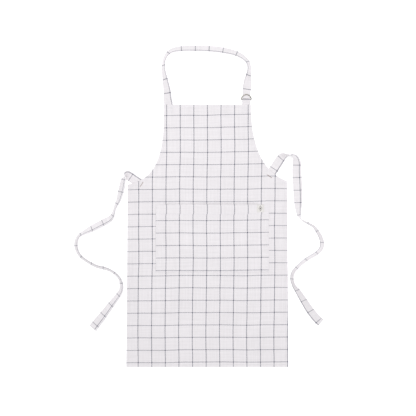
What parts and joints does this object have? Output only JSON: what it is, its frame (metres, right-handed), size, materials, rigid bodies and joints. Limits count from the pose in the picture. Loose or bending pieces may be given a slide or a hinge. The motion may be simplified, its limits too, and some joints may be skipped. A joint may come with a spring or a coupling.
{
  "type": "bib apron",
  "caption": "Full-length bib apron in light check cloth with a patch pocket, two waist ties and a neck strap adjusted by a pair of D-rings, laid flat on its back.",
  "frame": {"origin": "back face of the main panel, on its centre line, halfway between the bib's top edge and the bottom edge", "axes": "+X to the right of someone looking at the front, +Y towards the neck, +Z out of the front face"},
  "size_m": [0.8553, 1.1035, 0.032],
  "materials": {
    "check_cloth": "off-white plain-weave linen and cotton cloth with a thin navy windowpane check",
    "turned_cloth": "the same cloth turned under twice at an edge",
    "strip_cloth": "the same cloth folded into a four-layer strip and top-stitched",
    "seam_thread": "off-white lockstitch thread",
    "tack_thread": "brown bar-tack thread",
    "label_cloth": "beige woven label with a plain dark leaf-like device and no lettering",
    "ring_brass": "antique brass wire, satin"
  },
  "bodies": {
    "apron": {"main_panel": "check_cloth", "bottom_hem": "turned_cloth", "right_side_hem": "turned_cloth", "right_armhole_hem": "turned_cloth", "bib_top_hem": "turned_cloth", "left_armhole_hem": "turned_cloth", "left_side_hem": "turned_cloth", "pocket_hem": "turned_cloth", "pocket_panel": "check_cloth", "label": "label_cloth", "bottom_thread": "seam_thread", "right_side_thread": "seam_thread", "right_armhole_thread": "seam_thread", "bib_top_thread": "seam_thread", "left_armhole_thread": "seam_thread", "left_side_thread": "seam_thread", "pocket_hem_thread": "seam_thread", "pocket_seam_thread": "seam_thread", "label_thread": "seam_thread", "neck_strap_tack": "seam_thread", "ring_tab_tack": "seam_thread", "left_tie_tack": "tack_thread", "right_tie_tack": "tack_thread", "neck_strap_end": "strip_cloth", "ring_tab_end": "strip_cloth", "left_tie_end": "strip_cloth", "right_tie_end": "strip_cloth"},
    "neck_loop": {"neck_strap": "strip_cloth", "ring_tab": "strip_cloth", "back_ring": "ring_brass"},
    "front_ring": {"front_ring": "ring_brass"},
    "left_tie": {"left_tie": "strip_cloth"},
    "right_tie": {"right_tie": "strip_cloth"}
  },
  "joints": [
    {"name": "neck_fold", "type": "hinge", "parent": "apron", "child": "neck_loop", "pos_m": [0, 0.453, -0.0023], "axis": [1, 0, 0], "range_deg": [0, 90]},
    {"name": "ring_tilt", "type": "hinge", "parent": "neck_loop", "child": "front_ring", "pos_m": [0.1335, 0.467, 0.003], "axis": [1, 0, 0], "range_deg": [0, 90]},
    {"name": "left_tie_fold", "type": "hinge", "parent": "apron", "child": "left_tie", "pos_m": [-0.25914, 0.196, -0.0023], "axis": [0, 1, 0], "range_deg": [0, 120]},
    {"name": "right_tie_fold", "type": "hinge", "parent": "apron", "child": "right_tie", "pos_m": [0.23609, 0.24, -0.0023], "axis": [0, -1, 0], "range_deg": [0, 120]}
  ]
}
